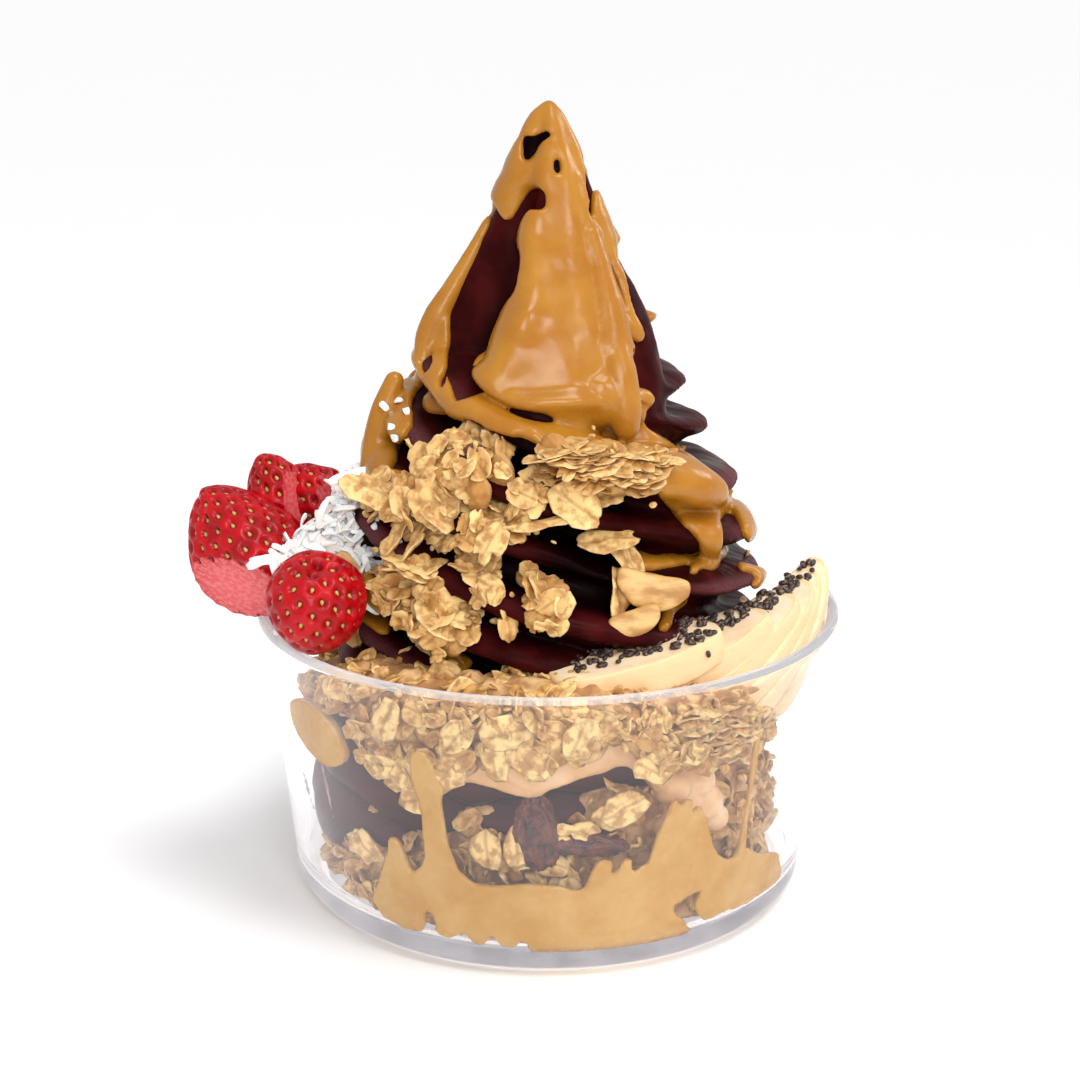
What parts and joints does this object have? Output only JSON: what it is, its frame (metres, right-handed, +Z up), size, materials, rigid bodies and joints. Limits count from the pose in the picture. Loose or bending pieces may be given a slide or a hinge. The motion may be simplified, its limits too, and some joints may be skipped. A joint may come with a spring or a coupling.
{
  "type": "cup of soft serve",
  "caption": "Clear glass bowl of layered soft serve under a tall piped swirl with sauce, granola, berries, coconut and banana.",
  "frame": {"origin": "middle of the flat underside of the glass bowl", "axes": "+Z up along the bowl's axis, -Y towards the front of the cup, +X to the right of someone facing its front, where the banana is"},
  "size_m": [0.1636, 0.15, 0.2043],
  "materials": {
    "clear_glass": "clear and polished",
    "soft_serve": "smooth frozen cream, matt with a soft sheen",
    "peanut_butter": "thick glossy sauce",
    "granola": "dry toasted flakes",
    "strawberry": "wet shiny fruit with pale cut faces",
    "coconut": "dry white shreds",
    "banana": "moist cut fruit, dark seeds on it",
    "dried_fruit": "dark and wrinkled"
  },
  "bodies": {
    "root": {"glass_bowl": "clear_glass", "peanut_butter_base": "peanut_butter", "granola_lower": "granola", "soft_serve_lower": "soft_serve", "peanut_butter_middle": "peanut_butter", "granola_upper": "granola", "dried_fruit_upright": "dried_fruit", "dried_fruit_flat": "dried_fruit", "peanut_butter_drop": "peanut_butter", "soft_serve": "soft_serve", "nut_slice": "granola", "coconut_heap": "coconut", "granola_slab": "granola", "granola_crag": "granola", "granola_cluster_left": "granola", "granola_strip": "granola", "granola_chip": "granola", "granola_knot": "granola", "granola_cluster_low": "granola", "granola_cluster_foot": "granola", "berry_front": "strawberry", "berry_left": "strawberry", "berry_wedge": "strawberry", "berry_slice": "strawberry", "berry_end": "strawberry", "banana_slice_1": "banana", "banana_slice_2": "banana", "banana_slice_3": "banana", "banana_slice_4": "banana", "banana_slice_5": "banana", "banana_slice_6": "banana"}
  },
  "joints": []
}
